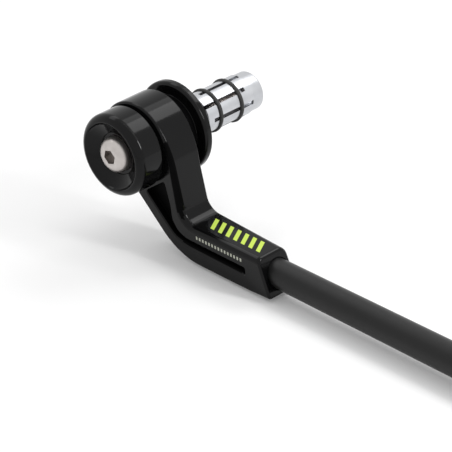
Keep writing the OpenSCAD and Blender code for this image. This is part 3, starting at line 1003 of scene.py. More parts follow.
@dataclass
class ArmAssembly:
    """The machined arm: head, cranked plate, pocket, block and sockets.

    The front rib's middle and foot are corners of the pocket, given as inset from the rib, height
    above the block's top and radius. The pocket's turns are its next corners, as way along the rod
    from the rib's foot, drop and radius.
    """

    stack: Stack
    finish: bpy.types.Material
    # Painted shade: the darker finish for the pocket's inside and the front edge's band.
    shade_finish: bpy.types.Material
    shade_band: ShadeBand = ShadeBand()
    head_r: float = 16.85
    head_edge: float = 0.9
    front_off: float = 18.8
    front_slope: float = 8.0
    blend_r: float = 30.0
    back_off: float = 14.4
    back_slope: float = 43.8
    outer_slope: float = 4.7
    inner_slope: float = 6.2
    slope_start: float = 4.0
    bend_r: float = 6.0
    heel_r: float = 26.0
    neck_r: float = 6.0
    front_round: float = 2.1
    bend_round: float = 2.5
    top_round: float = 2.4
    foot_round: float = 0.35
    inner_front: float = 0.5
    inner_bend: float = 0.3
    inner_round: float = 3.2
    inner_foot: float = 1.0
    inner_back: float = 0.8
    neck_edges: Point = (0.8, 0.7)
    block_top: float = 24.8
    block_h: float = 15.7
    block_reach: float = 60.5
    end_slope: float = 18.1
    end_edge: float = 1.0
    end_blend: Point = (6.0, 8.0)
    overrun: float = 12.0
    rod_r: float = 5.45
    rod_gap: float = 0.2
    rod_drop: float = 33.0
    socket_wall: float = 2.3
    socket_depth: float = 8.0
    socket_edge: float = 0.35
    spigot_r: float = 3.9
    spigot_len: float = 20.0
    set_r: float = 2.03
    set_pitch: float = 9.0
    set_hole: Point = (-2.5, 6.5)
    pocket_depth: float = 3.0
    # Depth below the outer side from which the pocket's painted shade starts.
    pocket_shade_from: float = 0.3
    pocket_fillet: float = 0.4
    pocket_back_off: float = 10.1
    pocket_low: float = 35.2
    pocket_heel_r: float = 16.0
    rim_round: float = 0.4
    rim_round_back: float = 0.9
    rim_round_low: float = 2.4
    rib_top: float = 5.9
    rib_bend: float = 4.4
    rib_middle: Triple = (0.7, 5.4, 20.0)
    rib_foot: Triple = (1.2, -0.6, 6.0)
    pocket_turns: tuple[Triple, ...] = ((2.6, 4.0, 6.0), (6.6, 0.0, 9.0), (15.6, 0.0, 30.0))
    pocket_top_slope: float = 37.0
    pocket_top_off: float = 16.6
    pocket_top_rounds: Point = (1.1, 2.2)
    pocket_end_drop: float = 7.55
    pocket_end_gap: float = 9.4
    pocket_end_rounds: Point = (1.0, 2.4)
    pocket_h_end: float = 4.0
    pocket_h_bend: float = 4.2

    def outer_y(self, z: float) -> float:
        """Returns where the arm's outer side is at a height."""
        return self.stack.arm_y + max(0.0, -z - self.slope_start) * tan(self.outer_slope)

    def inner_y(self, z: float) -> float:
        """Returns where the arm's inner side is at a height."""
        return self.stack.neck_y + max(0.0, -z - self.slope_start) * tan(self.inner_slope)

    @property
    def rod_y(self) -> float:
        """The rod's axis along the bar."""
        return self.outer_y(-self.rod_drop) + self.socket_wall + self.rod_r + self.rod_gap

    @property
    def rod_x(self) -> float:
        """Where the rod's axis meets the end face."""
        return self.block_reach + (self.rod_drop - self.block_top) * tan(self.end_slope)

    def stations(self) -> list[Station]:
        """Walks the arm's outline, with the edge roundings along it.

        Returns:
            The outline's stations, in order round the arm.
        """
        s, c = math.sin(math.radians(self.front_slope)), math.cos(math.radians(self.front_slope))
        bs, bc = math.sin(math.radians(self.back_slope)), math.cos(math.radians(self.back_slope))
        turn = self.front_slope + math.degrees(
            math.acos((self.front_off - self.blend_r) / (self.head_r - self.blend_r))
        )
        blend_in = self.head_r - self.blend_r
        blend_o = (blend_in * math.cos(math.radians(turn)), blend_in * math.sin(math.radians(turn)))
        corner = (self.front_off / c + self.block_top * s / c, -self.block_top)
        bend = self.bend_r * tan((90 - self.front_slope) / 2)
        bend_a = (corner[0] - bend * s, corner[1] + bend * c)
        bend_o = (corner[0] + bend, corner[1] + self.bend_r)
        bottom = -self.block_top - self.block_h
        heel_len = self.heel_r * tan((90 - self.back_slope) / 2)
        heel_o = ((-bottom * bs - self.back_off) / bc + heel_len, bottom + self.heel_r)
        reach = self.block_reach + self.overrun
        out_r, out_off = self.head_r + self.neck_r, self.back_off + self.neck_r
        along = math.sqrt(out_r ** 2 - out_off ** 2)
        neck_o = (-bc * out_off + bs * along, -bs * out_off - bc * along)
        neck_turn = math.degrees(math.atan2(neck_o[1], neck_o[0]))
        edge, front = self.head_edge, self.front_round
        out = [Station(x, z, edge, self.inner_front) for x, z in arc((0, 0), self.head_r, 360 + neck_turn, turn, 84)]
        for t, (x, z) in zip(shares(14), arc(blend_o, self.blend_r, turn, self.front_slope, 14)[1:]):
            out.append(Station(x, z, mix(edge, front, t), self.inner_front))
        start = (blend_o[0] + self.blend_r * c, blend_o[1] + self.blend_r * s)
        for t in shares(10):
            x, z = mix(start[0], bend_a[0], t), mix(start[1], bend_a[1], t)
            out.append(Station(x, z, mix(front, self.bend_round, t), self.inner_front))
        for t, (x, z) in zip(shares(16), arc(bend_o, self.bend_r, 180 + self.front_slope, 270, 16)[1:]):
            inner = mix(self.inner_front, self.inner_bend, t)
            out.append(Station(x, z, mix(self.bend_round, self.top_round, t), inner))
        for t in shares(10):
            x = mix(bend_o[0], reach, t)
            inner = mix(self.inner_bend, self.inner_round, (x - bend_o[0]) / (self.block_reach - bend_o[0]))
            out.append(Station(x, corner[1], self.top_round, inner))
        foot, end = self.foot_round, self.end_edge + 0.2
        out.append(Station(reach, bottom, end, end))
        for t in shares(10):
            x = mix(reach, heel_o[0], t)
            near = limit((x - self.block_reach + self.end_blend[0]) / self.end_blend[1])
            out.append(Station(x, bottom, mix(foot, end, near), mix(self.inner_foot, end, near)))
        for x, z in arc(heel_o, self.heel_r, 270, 180 + self.back_slope, 18)[1:]:
            out.append(Station(x, z, foot, self.inner_back))
        back_end = (-bc * self.back_off + bs * along, -bs * self.back_off - bc * along)
        last = out[-1]
        for t in shares(8):
            out.append(Station(mix(last.x, back_end[0], t), mix(last.z, back_end[1], t), foot, self.inner_back))
        start_a = math.degrees(math.atan2(back_end[1] - neck_o[1], back_end[0] - neck_o[0]))
        end_a = neck_turn + 180
        end_a -= 360 * round((end_a - start_a) / 360)
        for x, z in arc(neck_o, self.neck_r, start_a, end_a, 8)[1:-1]:
            out.append(Station(x, z, *self.neck_edges))
        return out

    def rings(self, walk: Sequence[Station]) -> list[list[Triple]]:
        """Works out the rings of the arm's skin, from its outer side to its inner side.

        Args:
            walk: The outline's stations.

        Returns:
            The rings, each with one point per station.
        """
        inward = inward_normals([(at.x, at.z) for at in walk], least=0.5)

        def ring(outer: bool, angle: float) -> list[Triple]:
            """Places one ring of the outer or the inner edge's rounding, at an angle of its turn."""
            points = []
            for at, n in zip(walk, inward):
                r = at.outer if outer else at.inner
                inset, sink = r * (1 - math.sin(angle)), r * (1 - math.cos(angle))
                x, z = at.x + n[0] * inset, at.z + n[1] * inset
                points.append((x, self.outer_y(z) + sink if outer else self.inner_y(z) - sink, z))
            return points

        angles = [math.pi / 2 * t for t in (0.0, *shares(7))]
        return [ring(True, angle) for angle in angles] + [ring(False, angle) for angle in reversed(angles)]

    def build(self) -> bpy.types.Object:
        """Builds and dresses the arm.

        Returns:
            The finished arm.
        """
        rings = self.rings(self.stations())
        piece = Bench.ring("machined_arm", rings[0])
        bpy.ops.mesh.edge_face_add()
        bpy.ops.mesh.select_all(action="SELECT")
        for points in rings[1:]:
            Bench.next_ring(piece, points)
        Bench.close_skin()
        bpy.ops.mesh.bisect(plane_co=(0, 0, -self.slope_start * MM), plane_no=(0, 0, 1))
        bpy.ops.mesh.select_all(action="SELECT")
        tilt = math.radians(self.end_slope)
        bpy.ops.mesh.bisect(
            plane_co=(self.block_reach * MM, 0, -self.block_top * MM),
            plane_no=(math.cos(tilt), 0, math.sin(tilt)), clear_outer=True, use_fill=True,
        )
        bpy.ops.object.mode_set(mode="OBJECT")
        Bench.bevel_edges(piece, self.on_end_face, self.end_edge, 4)
        self.cut_pocket(piece)
        self.cut_bores(piece)
        Bench.smooth(piece)
        Bench.settle(piece, self.finish, Slot.BLACK_ANODISED, "guard_arm")
        self.paint_shade(piece)
        return piece

    def end_distance(self, place: Vector) -> float:
        """Returns how far a point lies outside the end face's plane, in millimetres."""
        tilt = math.radians(self.end_slope)
        return (place.x / MM - self.block_reach) * math.cos(tilt) + (place.z / MM + self.block_top) * math.sin(tilt)

    def on_end_face(self, edge: bmesh.types.BMEdge) -> bool:
        """Says whether an edge lies on the rim of the end face."""
        return all(abs(self.end_distance(v.co)) < NEAR for v in edge.verts)

    def on_socket_rim(self, edge: bmesh.types.BMEdge) -> bool:
        """Says whether an edge lies on the rim of the rod's socket."""
        radii = [math.hypot(v.co.y / MM - self.rod_y, v.co.z / MM + self.rod_drop) for v in edge.verts]
        return self.on_end_face(edge) and all(abs(r - self.rod_r - self.rod_gap) < NEAR for r in radii)

    def pocket_points(self) -> list[Point]:
        """Returns the pocket's outline, with its corners rounded."""
        turn = math.radians(self.pocket_top_slope)
        along, down = Vector((math.cos(turn), math.sin(turn))), Vector((math.sin(turn), -math.cos(turn)))
        front, back = math.radians(self.front_slope), math.radians(self.back_slope)
        front_n = Vector((math.cos(front), math.sin(front)))
        back_n = Vector((-math.cos(back), -math.sin(back)))
        floor = -self.pocket_low
        rib_x = (self.front_off - self.rib_bend) / front_n.x

        def meet(normal: Vector, distance: float) -> Point:
            """Meets the pocket's upper end wall with a line at a distance from the bar's axis."""
            reach = (distance - self.pocket_top_off * down.dot(normal)) / along.dot(normal)
            place = down * self.pocket_top_off + along * reach
            return place.x, place.y

        def on_rib(inset: float, above: float, radius: float) -> Triple:
            """Places a corner on the front rib, at a height above the block's top."""
            x = rib_x + (self.block_top - above) * tan(self.front_slope) - inset
            return x, -self.block_top + above, radius

        heights = self.pocket_h_bend, (self.pocket_h_bend + self.pocket_h_end) / 2
        first, second, third = self.pocket_turns
        middle, bend = on_rib(*self.rib_middle), on_rib(*self.rib_foot)
        end_x = self.block_reach + self.pocket_end_drop * tan(self.end_slope) - self.pocket_end_gap
        heel_x = (self.pocket_low * math.sin(back) - self.pocket_back_off) / math.cos(back)
        heel_len = self.pocket_heel_r * tan((90 - self.back_slope) / 2)
        heel_o = (heel_x + heel_len, floor + self.pocket_heel_r)
        heel = arc(heel_o, self.pocket_heel_r, 270, 180 + self.back_slope, 16)
        corners = [
            (*meet(front_n, self.front_off - self.rib_top), self.pocket_top_rounds[0]),
            middle,
            bend,
            (bend[0] + first[0], bend[1] - first[1], first[2]),
            (bend[0] + second[0], floor + heights[0] - second[1], second[2]),
            (bend[0] + third[0], floor + heights[1] - third[1], third[2]),
            (end_x, floor + self.pocket_h_end, self.pocket_end_rounds[0]),
            (end_x, floor, self.pocket_end_rounds[1]),
            *((x, z, 0.0) for x, z in heel),
            (*meet(back_n, self.pocket_back_off), self.pocket_top_rounds[1]),
        ]
        return round_corners(corners, 6)

    def rim_width(self, place: Point, inward: Point) -> float:
        """Says how far the pocket's rim is rounded over.

        Args:
            place: A point of the pocket's outline.
            inward: The direction into the pocket there.

        Returns:
            The rounding's radius, which is small at the front and wide along the lower rim.
        """
        narrowing, block_from, block_span = 0.5, 30.0, 12.0
        back_rise, low_rise = 0.69, 0.8
        rise = limit(inward[1])
        low = self.rim_round_low - narrowing * limit((place[0] - block_from) / block_span)
        if inward[0] < 0:
            return mix(self.rim_round, low, rise ** 3)
        base = mix(self.rim_round, self.rim_round_back, min(1.0, rise / back_rise))
        return mix(base, low, max(0.0, (rise - low_rise) / (1.0 - low_rise)))

    def cut_pocket(self, piece: bpy.types.Object) -> None:
        """Sinks the pocket into the outer side, with a rounded floor and a rim rounded over.

        Args:
            piece: The arm.
        """
        outline = self.pocket_points()
        count = len(outline)
        widths = [self.rim_width(p, n) for p, n in zip(outline, inward_normals(outline))]
        above, lift, spill, fillet = 0.6, 0.01, 0.35, self.pocket_fillet

        def at(insets: Sequence[float], sinks: Sequence[float]) -> list[Triple]:
            """Places a ring of the cutter by its insets from the outline and its depths below the side."""
            return [(x, self.outer_y(z) + sink, z) for (x, z), sink in zip(shrink(outline, insets), sinks)]

        cutter = Bench.ring("pocket_cutter", at([-spill] * count, [-above] * count))
        bpy.ops.mesh.edge_face_add()
        Bench.next_ring(cutter, at([-spill] * count, [-lift] * count))
        for a in (math.pi / 2 * t for t in shares(8)):
            insets = [-spill + w * math.sin(a) for w in widths]
            Bench.next_ring(cutter, at(insets, [-lift + w * (1 - math.cos(a)) for w in widths]))
        for a in (math.pi / 2 * t for t in (0.0, *shares(3))):
            insets = [w - spill + fillet * (1 - math.cos(a)) for w in widths]
            Bench.next_ring(cutter, at(insets, [self.pocket_depth - fillet + fillet * math.sin(a)] * count))
        Bench.close_skin()
        bpy.ops.object.mode_set(mode="OBJECT")
        Bench.cut(piece, cutter)

    def in_pocket(self, places: Iterable[Vector], outline: Sequence[Point]) -> bool:
        """Says whether a face's corners all lie below the pocket's rounded rim.

        Args:
            places: The corners, in metres.
            outline: The pocket's outline, in millimetres.

        Returns:
            True inside the pocket.
        """
        for place in places:
            x, y, z = (v / MM for v in place)
            sink = y - self.outer_y(z)
            if not self.pocket_shade_from <= sink <= self.pocket_depth + NEAR or not holds(outline, (x, z)):
                return False
        return True

    def on_front_edge(self, place: Vector, normal: Vector) -> bool:
        """Says whether a face belongs to the rounding between the outer side and the front face.

        Args:
            place: The face's centre, in metres.
            normal: Its direction.

        Returns:
            True on the rounding, between the head and the bend.
        """
        x, y, z = (v / MM for v in place)
        tilt = math.radians(self.front_slope)
        lean = normal.x * math.cos(tilt) + normal.z * math.sin(tilt)
        gap = self.front_off - x * math.cos(tilt) - z * math.sin(tilt)
        return self.shade_band.holds(x, z, gap, y - self.outer_y(z), lean, -normal.y)

    def paint_shade(self, piece: bpy.types.Object) -> None:
        """Paints shade onto the pocket's inside and a band of the front edge with the darker, almost shineless finish.

        Args:
            piece: The arm.
        """
        piece.data.materials.append(self.shade_finish)
        outline = self.pocket_points()
        points = piece.data.vertices
        for face in piece.data.polygons:
            corners = (points[i].co for i in face.vertices)
            if self.on_front_edge(face.center, face.normal) or self.in_pocket(corners, outline):
                face.material_index = 1

    def cut_bores(self, piece: bpy.types.Object) -> None:
        """Bores the screw hole, the rod's socket and the set screws' holes.

        Args:
            piece: The arm.
        """
        for radius, length, centre, turn in self.bores():
            Bench.cut(piece, Bench.cylinder(radius, length, centre, turn))
        Bench.bevel_edges(piece, self.on_socket_rim, self.socket_edge, 3)

    def bores(self) -> Iterable[tuple[float, float, Triple, Triple]]:
        """Lists the bores as radius, length, centre and turn of the cutting cylinder."""
        socket_x = self.rod_x - self.socket_depth
        spigot_x = socket_x - self.spigot_len
        middle = socket_x - self.spigot_len / 2
        drill, tip = self.socket_depth + self.overrun, self.spigot_len + 1
        past_spigot, through = 0.3, 30.0
        across, along = (90, 0, 0), (0, 90, 0)
        yield self.stack.bore_r, through, (0, (self.stack.arm_y + self.stack.neck_y) / 2, 0), across
        yield self.rod_r + self.rod_gap, drill, (socket_x + drill / 2, self.rod_y, -self.rod_drop), along
        yield self.spigot_r, tip, (spigot_x + tip / 2 - past_spigot, self.rod_y, -self.rod_drop), along
        bottom = -self.block_top - self.block_h
        hole_start, hole_end = self.set_hole
        for side in (-1, 1):
            x = middle + side * self.set_pitch / 2
            yield self.set_r, hole_end - hole_start, (x, self.rod_y, bottom + (hole_start + hole_end) / 2), (0, 0, 0)


def round_corners(corners: Sequence[Triple], steps: int) -> list[Point]:
    """Rounds a polygon's corners.

    Args:
        corners: Points as x, z and radius. A radius of 0 leaves the corner as it is.
        steps: Number of steps in each rounding.

    Returns:
        The rounded outline.
    """
    out: list[Point] = []
    count = len(corners)
    for i, (x, z, radius) in enumerate(corners):
        if radius <= 0:
            out.append((x, z))
            continue
        here = Vector((x, z))
        a = Vector(corners[i - 1][:2]) - here
        b = Vector(corners[(i + 1) % count][:2]) - here
        half = a.angle(b) / 2
        reach = min(radius / math.tan(half), 0.48 * a.length, 0.48 * b.length)
        p, q = here + a.normalized() * reach, here + b.normalized() * reach
        for k in range(steps + 1):
            t = k / steps
            point = (1 - t) ** 2 * p + 2 * t * (1 - t) * here + t * t * q
            out.append((point.x, point.y))
    return out


def inward_normals(outline: Sequence[Point], least: float = 0.6) -> list[Point]:
    """Works out the direction inwards at every point of an outline.

    Args:
        outline: The points.
        least: Keeps the lengthening at sharp corners below 1 / least.

    Returns:
        The directions, lengthened at corners so that the sides move evenly.
    """
    count = len(outline)
    area = sum(outline[i - 1][0] * p[1] - p[0] * outline[i - 1][1] for i, p in enumerate(outline))
    side = 1.0 if area > 0 else -1.0
    out: list[Point] = []
    for i, p in enumerate(outline):
        before, after = Vector(outline[i - 1]), Vector(outline[(i + 1) % count])
        here = Vector(p)
        a, b = (here - before).normalized(), (after - here).normalized()
        na, nb = Vector((-a.y, a.x)), Vector((-b.y, b.x))
        mid = (na + nb).normalized()
        moved = mid * (side / max(least, mid.dot(na)))
        out.append((moved.x, moved.y))
    return out


def shrink(outline: Sequence[Point], by: Sequence[float]) -> list[Point]:
    """Moves every point of an outline inwards.

    Args:
        outline: The points.
        by: The distance of each point, which may be negative.

    Returns:
        The moved points, in the same order.
    """
    return [(p[0] + n[0] * d, p[1] + n[1] * d) for p, n, d in zip(outline, inward_normals(outline), by)]


def holds(outline: Sequence[Point], place: Point) -> bool:
    """Says whether a point lies inside an outline.

    Args:
        outline: The points.
        place: The point.

    Returns:
        True inside, by the crossings of a line to the right.
    """
    inside = False
    for i, (x1, z1) in enumerate(outline):
        x0, z0 = outline[i - 1]
        if (z0 > place[1]) != (z1 > place[1]) and place[0] < x0 + (place[1] - z0) * (x1 - x0) / (z1 - z0):
            inside = not inside
    return inside


@dataclass
class TubeAssembly:
    """The collar that the tube butts against and the expander inside the tube."""

    stack: Stack
    finish: bpy.types.Material
    sleeve_finish: bpy.types.Material
    ring_finish: bpy.types.Material
    flange_r: float = 17.7
    flange_round: float = 1.4
    neck_r: float = 13.0
    plug_r: float = 8.0
    plug_len: float = 8.0
    sleeve_len: float = 24.0
    sleeve_r: float = 5.4
    seat_r: float = 6.8
    seat_depth: float = 4.0
    slot_w: float = 1.6
    slot_left: float = 3.0
    oring_r: float = 0.9
    oring_in: float = 6.5
    nut_end: float = 6.0
    tap_r: float = 4.03

    def build(self) -> None:
        """Builds and dresses the collar, the sleeve, its rings and the nut."""
        self.collar()
        self.sleeve()
        for name, node, y in (
            ("rubber_ring_front", "retaining_ring_front", self.plug_len + self.oring_in),
            ("rubber_ring_rear", "retaining_ring_rear", self.plug_len + self.sleeve_len - self.oring_in),
        ):
            piece = Bench.lathe(name, arc((self.plug_r - 0.15, y), self.oring_r, 0, 337.5, 15), 96)
            Bench.smooth(piece, 60.0, weighted=False)
            Bench.settle(piece, self.ring_finish, Slot.RUBBER, node)
        self.nut()

    def collar(self) -> bpy.types.Object:
        """Turns the collar: neck, flange with its rounded edges, plug and taper."""
        y, front, end = self.stack.neck_y, -self.stack.flange_t, self.plug_len
        r, f, n, p, bore = self.flange_r, self.flange_round, self.neck_r, self.plug_r, self.stack.bore_r
        profile = [(bore, y), (n - 0.3, y), (n, y + 0.3), (n, front - 0.5), (n + 0.15, front - 0.15), (n + 0.5, front)]
        profile += arc((r - f, front + f), f, -90, 0, 8)
        profile += [(r, -0.35), (r - 0.1, -0.1), (r - 0.35, 0.0)]
        profile += [(p + 0.3, 0.0), (p, 0.25), (p, end - 0.25), (p - 0.25, end)]
        profile += [(self.seat_r, end), (self.sleeve_r, end + self.seat_depth), (bore, end + self.seat_depth)]
        piece = Bench.lathe("flanged_collar", profile, 160)
        Bench.smooth(piece)
        return Bench.settle(piece, self.finish, Slot.BLACK_ANODISED, "collar")

    def sleeve(self) -> bpy.types.Object:
        """Turns the sleeve, and saws its slots from both ends."""
        a, b = self.plug_len, self.plug_len + self.sleeve_len
        r, taper = self.plug_r, self.seat_depth
        groove = self.oring_r + 0.1
        profile = [(self.seat_r, a), (r - 0.25, a), (r, a + 0.25)]
        for y in (a + self.oring_in, b - self.oring_in):
            profile += [(r, y - groove), (r - 1.0, y - groove), (r - 1.0, y + groove), (r, y + groove)]
        profile += [(r, b - 0.25), (r - 0.25, b), (self.seat_r, b)]
        profile += [(self.sleeve_r, b - taper), (self.sleeve_r, a + taper)]
        piece = Bench.lathe("slotted_sleeve", profile, 128)
        front_cuts = [(turn, a + self.slot_left, b + 1) for turn in (0, 90)]
        rear_cuts = [(turn, a - 1, b - self.slot_left) for turn in (45, 135)]
        for turn, y0, y1 in front_cuts + rear_cuts:
            Bench.clear()
            bpy.ops.mesh.primitive_cube_add(
                size=1, location=(0, (y0 + y1) / 2 * MM, 0), rotation=(0, math.radians(turn), 0),
                scale=(3 * r * MM, (y1 - y0) * MM, self.slot_w * MM),
            )
            Bench.cut(piece, bpy.context.object)
        Bench.smooth(piece)
        return Bench.settle(piece, self.sleeve_finish, Slot.PLAIN_ALUMINIUM, "expander_sleeve")

    def nut(self) -> bpy.types.Object:
        """Turns the tapered nut."""
        y = self.plug_len + self.sleeve_len - self.seat_depth
        r, tap = self.plug_r - 0.4, self.tap_r
        d = self.seat_depth
        e = d + self.nut_end
        profile = [(tap, y), (self.sleeve_r - 0.1, y), (self.sleeve_r, y + 0.15)]
        profile += [(self.seat_r - 0.05, y + d), (r - 0.15, y + d), (r, y + d + 0.15)]
        profile += [(r, y + e - 1.0), (r - 0.3, y + e - 0.4), (r - 1.0, y + e), (tap + 0.6, y + e), (tap, y + e - 0.6)]
        piece = Bench.lathe("tapered_nut", profile, 128)
        Bench.smooth(piece)
        return Bench.settle(piece, self.sleeve_finish, Slot.PLAIN_ALUMINIUM, "expander_nut")


@dataclass
class RodAssembly:
    """The guard rod and the two set screws that hold its spigot."""

    arm: ArmAssembly
    finish: bpy.types.Material
    screw_finish: bpy.types.Material
    end_r: float = 6.0
    length: float = 118.0
    tip_round: float = 4.0
    spigot_r: float = 3.8
    set_r: float = 2.0
    set_len: float = 3.6
    set_af: float = 2.0
    set_edge: float = 0.3
    set_proud: float = 1.2

    def build(self) -> None:
        """Builds and dresses the rod and its set screws."""
        self.rod()
        middle = self.arm.rod_x - self.arm.socket_depth - self.arm.spigot_len / 2
        for name, node, side in (("lock_screw_front", "set_screw_front", 1), ("lock_screw_rear", "set_screw_rear", -1)):
            self.set_screw(name, node, middle + side * self.arm.set_pitch / 2)

    def rod(self) -> bpy.types.Object:
        """Turns the rod: spigot, shoulder, slightly widening shaft and rounded tip."""
        x0, r, s = self.arm.rod_x, self.arm.rod_r, self.spigot_r
        start = x0 - self.arm.socket_depth
        spigot = start - self.arm.spigot_len
        tip = x0 + self.length
        profile = [(0.0, spigot), (s - 0.6, spigot), (s, spigot + 0.6), (s, start + 0.3)]
        profile += [(r - 0.4, start + 0.3), (r, start + 0.7), (r, x0)]
        profile += [(mix(r, self.end_r, t), mix(x0, tip - self.tip_round, t)) for t in shares(24)[:-1]]
        profile += arc((self.end_r - self.tip_round, tip - self.tip_round), self.tip_round, 0, 90, 12)
        profile.append((0.0, tip))
        piece = Bench.lathe("guard_rod_moulded", profile, 112, bar_axis=False)
        Bench.carry(piece, (0, self.arm.rod_y, -self.arm.rod_drop))
        Bench.smooth(piece)
        return Bench.settle(piece, self.finish, Slot.BLACK_POLYMER, "guard_rod")

    def set_screw(self, name: str, node: str, x: float) -> bpy.types.Object:
        """Makes a set screw: a chamfered cylinder with a hexagon socket.

        Args:
            name: The piece's name.
            node: The CAD node it stands for.
            x: Its place along the rod.

        Returns:
            The set screw.
        """
        y, top = self.arm.rod_y, -self.arm.rod_drop - self.spigot_r + self.set_proud
        piece = Bench.cylinder(self.set_r, self.set_len, (x, y, top - self.set_len / 2), sides=48)
        piece.name = name
        bpy.ops.object.transform_apply(location=True, rotation=True, scale=True)
        Bench.bevel_edges(piece, lambda e: abs(e.verts[0].co.z - e.verts[1].co.z) < 1e-7, self.set_edge, 2)
        socket = Bench.cylinder(self.set_af / math.sqrt(3), self.set_len, (x, y, top - self.set_len), sides=6)
        Bench.cut(piece, socket)
        Bench.smooth(piece, 32.0)
        return Bench.settle(piece, self.screw_finish, Slot.BLACK_STEEL, node)


@dataclass(frozen=True)
class Lamp:
    """A soft rectangular lamp: sizes in millimetres, radiance with 1 as the background's white."""

    name: str
    at: Triple
    width: float
    height: float
    radiance: float
    roll: float = 0.0

    def hang(self, target: Triple) -> None:
        """Hangs the lamp so that it faces a point.

        Args:
            target: The point, in millimetres.
        """
        data = bpy.data.lights.new(self.name, "AREA")
        data.shape = "RECTANGLE"
        data.size = self.width * MM
        data.size_y = self.height * MM
        data.energy = self.radiance * math.pi * data.size * data.size_y
        lamp = bpy.data.objects.new(self.name, data)
        bpy.context.scene.collection.objects.link(lamp)
        lamp.location = place = Vector(self.at) * MM
        facing = (Vector(target) * MM - place).to_track_quat("-Z", "Y").to_matrix()
        lamp.rotation_euler = (facing @ Matrix.Rotation(math.radians(self.roll), 3, "Z")).to_euler()


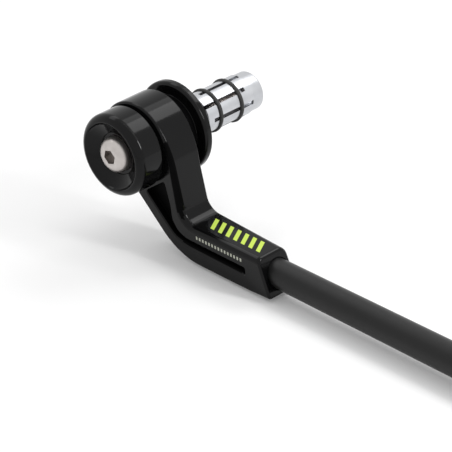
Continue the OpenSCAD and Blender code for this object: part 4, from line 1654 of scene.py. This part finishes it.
@dataclass
class Studio:
    """The floor, the soft lamps, the pale world and the camera.

    Each lamp hangs where the gloss of the guard mirrors it as one bright band or glint.
    """

    lamps: tuple[Lamp, ...] = (
        Lamp("softbox_key", (73, 367, 469), 271, 180, 3.7, roll=14.0),
        Lamp("softbox_fill", (-123, 367, 458), 159, 180, 1.35, roll=-23.7),
        Lamp("softbox_left", (-366, 24, 474), 544, 170, 1.65),
        Lamp("strip_over", (279, 160, 506), 1040, 20, 9.0, roll=73.4),
        Lamp("spot_side", (470, 145, 305), 190, 62, 24.0, roll=84.0),
    )
    lamp_target: Triple = (10, -15, -15)
    floor_z: float = -41.8
    floor_r: float = 900.0
    floor_centre_x: float = 40.0
    floor_colour: Triple = (0.92, 0.92, 0.92)
    floor_cloud: float = 1.01
    floor_roughness: float = 0.9
    floor_shine: float = 0.1
    floor_glow: float = 0.1
    world_light: float = 0.77
    camera_at: Triple = (703.44, -681.22, 528.24)
    right: Triple = (0.71209, 0.70203, -0.00972)
    up: Triple = (-0.34833, 0.36527, 0.86327)
    back: Triple = (0.60959, -0.61134, 0.50464)
    lens: float = 238.94
    sensor: float = 36.0
    clip: Point = (0.05, 20.0)

    def build(self) -> None:
        """Builds the stage, the lamps and the camera."""
        bpy.context.scene.view_settings.view_transform = "Standard"
        self.floor()
        self.world()
        for lamp in self.lamps:
            lamp.hang(self.lamp_target)
        self.camera()

    def floor(self) -> None:
        """Lays the pale floor, which glows a little where it is seen or mirrored."""
        Bench.clear()
        bpy.ops.mesh.primitive_circle_add(
            vertices=128, radius=self.floor_r * MM, fill_type="NGON",
            location=(self.floor_centre_x * MM, 0, self.floor_z * MM),
        )
        piece = bpy.context.object
        piece.name = "studio_floor"
        bpy.ops.object.transform_apply(location=True, rotation=True, scale=True)
        sheet = FinishSheet("floor_paper")
        cloudy = tuple(v * self.floor_cloud for v in self.floor_colour)
        colour = sheet.blend(sheet.noise(Grain(6.0, 2.0)), self.floor_colour, cloudy)
        sheet.link(colour, sheet.shader.inputs["Base Color"])
        sheet.shader.inputs["Roughness"].default_value = self.floor_roughness
        sheet.shader.inputs["Specular IOR Level"].default_value = self.floor_shine
        glow = sheet.add("ShaderNodeEmission")
        glow.inputs["Color"].default_value = (1, 1, 1, 1)
        glow.inputs["Strength"].default_value = 1.0
        share = sheet.maths("MULTIPLY", sheet.seen_directly(), self.floor_glow)
        surface = sheet.output.inputs["Surface"]
        sheet.mix_shaders(share, sheet.shader.outputs["BSDF"], glow.outputs["Emission"], surface)
        piece.data.materials.append(sheet.material)

    def world(self) -> None:
        """Makes the world pale, at full white where it is seen or mirrored."""
        world = bpy.data.worlds.new("pale_room")
        bpy.context.scene.world = world
        world.use_nodes = True
        sheet = NodeSheet(world.node_tree)
        output = sheet.add("ShaderNodeOutputWorld")
        lights = []
        for strength in (self.world_light, 1.0):
            light = sheet.add("ShaderNodeBackground")
            light.inputs["Color"].default_value = (1, 1, 1, 1)
            light.inputs["Strength"].default_value = strength
            lights.append(light.outputs["Background"])
        sheet.mix_shaders(sheet.seen_directly(), *lights, output.inputs["Surface"])

    def camera(self) -> None:
        """Sets the camera at the photograph's viewing angle."""
        data = bpy.data.cameras.new("photo_camera")
        data.sensor_width = self.sensor
        data.lens = self.lens
        data.clip_start, data.clip_end = self.clip
        data.dof.use_dof = False
        camera = bpy.data.objects.new("photo_camera", data)
        bpy.context.scene.collection.objects.link(camera)
        turn = Matrix((self.right, self.up, self.back)).transposed()
        camera.matrix_world = Matrix.Translation(Vector(self.camera_at) * MM) @ turn.to_4x4()
        bpy.context.scene.camera = camera


def main() -> None:
    """Builds the guard's pieces and the studio."""
    logging.basicConfig(level=logging.INFO, format="%(name)s: %(message)s")
    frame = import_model()
    LOG.info("frame has %d nodes", len(frame["nodes"]))
    stack = Stack()
    gloss = GlossAnodise(name="black_anodised_turned", lay=Lay.TURNED_ALL_OVER).make()
    arm_gloss = GlossAnodise(name="black_anodised_milled", marking=Marking()).make()
    aluminium = TurnedAluminium().make()
    rubber = MattRubber().make()
    Studio().build()
    # A darker copy of the stainless: painted shade for the inside of the screw's hexagon socket.
    socket_shade_steel = SatinStainless(
        name="stainless_socket_painted_shade", colour=(0.32, 0.295, 0.28), colour_high=(0.42, 0.39, 0.37)
    ).make()
    ring_polymer = SatinPolymer(name="ring_polymer").make()
    CapAssembly(stack, gloss, SatinStainless().make(), socket_shade_steel, ring_polymer).build()
    # The arm's second finish is painted shade for its pocket and its front edge's band.
    arm = ArmAssembly(stack, arm_gloss, ShadeAnodise().make())
    arm.build()
    TubeAssembly(stack, gloss, aluminium, rubber).build()
    rod_polymer = SatinPolymer(name="rod_polymer", lay=Lay.ALONG_ROD).make()
    RodAssembly(arm, rod_polymer, BlackOxide().make()).build()
    Bench.clear()


if __name__ == "__main__":
    main()
